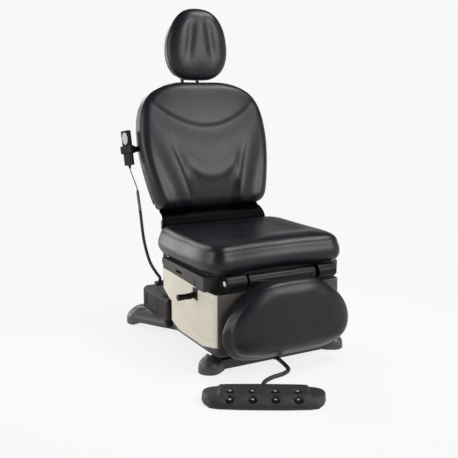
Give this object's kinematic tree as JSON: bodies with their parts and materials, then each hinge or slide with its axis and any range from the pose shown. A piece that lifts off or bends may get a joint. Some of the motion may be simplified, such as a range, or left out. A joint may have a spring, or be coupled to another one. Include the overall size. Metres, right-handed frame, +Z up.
{
  "type": "procedure chair",
  "caption": "Powered procedure chair with lift base, tilting seat, reclining back, sliding and tilting headrest, raising leg section, handset and foot control.",
  "frame": {"origin": "on the floor under the axis of the lift column", "axes": "+Z up; the chair faces -Y; +X is the sitter's left"},
  "size_m": [0.729, 1.1633, 1.302],
  "materials": {
    "cast": "satin",
    "steel_black": "satin",
    "steel_bright": "satin",
    "shroud_beige": "satin",
    "trim_taupe": "satin",
    "plastic_black": "satin",
    "vinyl": "satin",
    "rubber": "matte",
    "keypad_grey": "matte",
    "switch_red": "gloss",
    "board": "matte"
  },
  "bodies": {
    "base": {"base_frame": "steel_black", "base_deck": "cast", "foot_cover_front_right": "cast", "foot_cover_rear_right": "cast", "foot_cover_rear_left": "cast", "foot_cover_front_left": "cast", "column_outer": "steel_bright", "lift_motor": "steel_black", "lower_shroud": "trim_taupe", "power_box": "plastic_black", "power_box_lid": "plastic_black", "power_inlet": "plastic_black", "pedal_plate": "rubber", "pedal_cover": "plastic_black", "pedal_cord": "rubber"},
    "lift_middle": {"column_middle": "steel_bright", "middle_shroud": "trim_taupe"},
    "carriage": {"column_inner": "steel_bright", "carriage_plate": "steel_black", "upper_shroud": "shroud_beige", "tilt_pin": "steel_bright", "lever_plate": "plastic_black"},
    "lever": {"release_lever": "plastic_black"},
    "switch": {"power_switch": "switch_red"},
    "seat": {"seat_frame": "steel_black", "recline_shaft": "steel_bright", "seat_board": "board", "seat_cushion": "vinyl", "side_cover_left": "trim_taupe", "side_cover_right": "trim_taupe", "hinge_cap_left": "plastic_black", "hinge_cap_right": "plastic_black", "hinge_screw_left": "steel_bright", "hinge_screw_right": "steel_bright", "cable_gland": "plastic_black", "handset_cable": "rubber", "handset_cord": "rubber", "cord_connector": "keypad_grey"},
    "back": {"back_frame": "steel_black", "back_shell": "trim_taupe", "back_cushion": "vinyl", "hinge_cover": "vinyl", "handset_holder": "plastic_black"},
    "headrest_slider": {"headrest_posts": "steel_black"},
    "headrest": {"headrest_shell": "plastic_black", "headrest_cushion": "vinyl"},
    "leg": {"leg_frame": "steel_black"},
    "leg_pad": {"leg_board": "board", "leg_cushion": "vinyl", "leg_strip": "steel_bright"},
    "handset": {"handset_body": "plastic_black", "handset_keypad": "keypad_grey"},
    "button_1": {"pedal_button_1": "keypad_grey"},
    "button_2": {"pedal_button_2": "keypad_grey"},
    "button_3": {"pedal_button_3": "keypad_grey"},
    "button_4": {"pedal_button_4": "keypad_grey"},
    "button_5": {"pedal_button_5": "keypad_grey"},
    "button_6": {"pedal_button_6": "keypad_grey"},
    "button_7": {"pedal_button_7": "keypad_grey"},
    "button_8": {"pedal_button_8": "keypad_grey"}
  },
  "joints": [
    {"name": "lift", "type": "slide", "parent": "base", "child": "carriage", "axis": [0, 0, 1], "range_m": [0, 0.3]},
    {"name": "lift_middle", "type": "slide", "parent": "base", "child": "lift_middle", "axis": [0, 0, 1], "range_m": [0, 0.15]},
    {"name": "seat_tilt", "type": "hinge", "parent": "carriage", "child": "seat", "pos_m": [0, 0.235, 0.304], "axis": [-1, 0, 0], "range_deg": [0, 15]},
    {"name": "back_recline", "type": "hinge", "parent": "seat", "child": "back", "pos_m": [0, 0.363, 0.44], "axis": [-1, 0, 0], "range_deg": [0, 75]},
    {"name": "leg_raise", "type": "hinge", "parent": "seat", "child": "leg", "pos_m": [0, -0.19, 0.325], "axis": [-1, 0, 0], "range_deg": [0, 88]},
    {"name": "leg_extension", "type": "slide", "parent": "leg", "child": "leg_pad", "axis": [0, 0, -1], "range_m": [0, 0.08]},
    {"name": "headrest_height", "type": "slide", "parent": "back", "child": "headrest_slider", "axis": [0, 0.2588, 0.9659], "range_m": [0, 0.1]},
    {"name": "headrest_tilt", "type": "hinge", "parent": "headrest_slider", "child": "headrest", "pos_m": [0, 0.56901, 1.09293], "axis": [-1, 0, 0], "range_deg": [0, 20]},
    {"name": "handset_lift", "type": "slide", "parent": "back", "child": "handset", "axis": [0, 0.2588, 0.9659], "range_m": [0, 0.12]},
    {"name": "lever_turn", "type": "hinge", "parent": "carriage", "child": "lever", "pos_m": [-0.2703, -0.033, 0.25], "axis": [0, 1, 0], "range_deg": [-15, 15], "stiffness_Nm_per_rad": 1.5},
    {"name": "switch_rock", "type": "hinge", "parent": "base", "child": "switch", "pos_m": [-0.13, 0.488, 0.1083], "axis": [1, 0, 0], "range_deg": [-8, 8]},
    {"name": "press_1", "type": "slide", "parent": "base", "child": "button_1", "axis": [0, 0, -1], "range_m": [0, 0.003], "stiffness_N_per_m": 300},
    {"name": "press_2", "type": "slide", "parent": "base", "child": "button_2", "axis": [0, 0, -1], "range_m": [0, 0.003], "stiffness_N_per_m": 300},
    {"name": "press_3", "type": "slide", "parent": "base", "child": "button_3", "axis": [0, 0, -1], "range_m": [0, 0.003], "stiffness_N_per_m": 300},
    {"name": "press_4", "type": "slide", "parent": "base", "child": "button_4", "axis": [0, 0, -1], "range_m": [0, 0.003], "stiffness_N_per_m": 300},
    {"name": "press_5", "type": "slide", "parent": "base", "child": "button_5", "axis": [0, 0, -1], "range_m": [0, 0.003], "stiffness_N_per_m": 300},
    {"name": "press_6", "type": "slide", "parent": "base", "child": "button_6", "axis": [0, 0, -1], "range_m": [0, 0.003], "stiffness_N_per_m": 300},
    {"name": "press_7", "type": "slide", "parent": "base", "child": "button_7", "axis": [0, 0, -1], "range_m": [0, 0.003], "stiffness_N_per_m": 300},
    {"name": "press_8", "type": "slide", "parent": "base", "child": "button_8", "axis": [0, 0, -1], "range_m": [0, 0.003], "stiffness_N_per_m": 300}
  ],
  "couplings": [
    {"joint": "lift_middle", "follows": "lift", "ratio": 0.5},
    {"joint": "leg_extension", "follows": "leg_raise", "m_per_rad": 0.0509}
  ]
}
